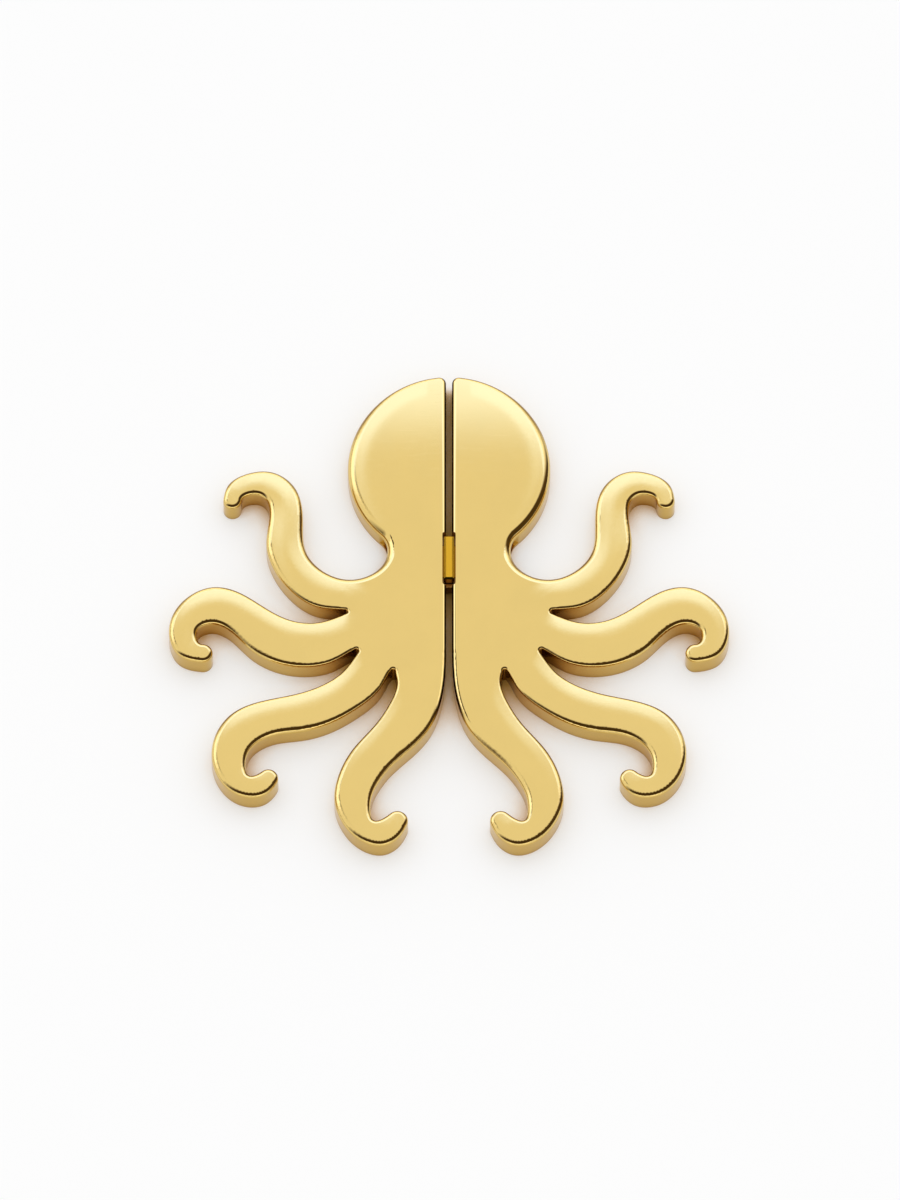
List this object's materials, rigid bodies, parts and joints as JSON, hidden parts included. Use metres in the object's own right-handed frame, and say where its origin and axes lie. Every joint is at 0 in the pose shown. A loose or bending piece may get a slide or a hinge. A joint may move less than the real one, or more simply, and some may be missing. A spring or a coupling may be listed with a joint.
{
  "type": "octopus strap clasp",
  "caption": "Ornamental metal clasp shaped as an octopus in two mirrored halves, joined by a hidden tongue with a spring catch and a release button.",
  "frame": {"origin": "under the middle of the whole clasp, on the face that it rests on", "axes": "+X from the left half to the right half, +Y towards the head, +Z out of the front"},
  "size_m": [0.08, 0.0742, 0.0041],
  "materials": {
    "polished_brass": "mirror polish",
    "button_brass": "mirror polish",
    "tongue_brass": "milled",
    "screw_brass": "turned",
    "pin_steel": "turned",
    "spring_steel": "rolled"
  },
  "bodies": {
    "left_half": {"left_plate": "polished_brass", "left_back_cover": "polished_brass", "left_cover_screws": "screw_brass", "left_strap_screws": "screw_brass", "tongue": "tongue_brass", "tongue_pins": "pin_steel", "catch_leaf": "spring_steel", "leaf_rivets": "pin_steel"},
    "button": {"release_button": "button_brass"},
    "right_half": {"right_plate": "polished_brass", "right_back_cover": "polished_brass", "right_cover_screws": "screw_brass", "right_strap_screws": "screw_brass"}
  },
  "joints": [
    {"name": "right_half_slide", "type": "slide", "parent": "left_half", "child": "right_half", "axis": [1, 0, 0], "range_m": [0, 0.004]},
    {"name": "button_press", "type": "slide", "parent": "left_half", "child": "button", "axis": [0, 0, -1], "range_m": [0, 0.0006], "stiffness_N_per_m": 1500, "springref_m": -0.0004, "deforming": ["catch_leaf"]}
  ]
}
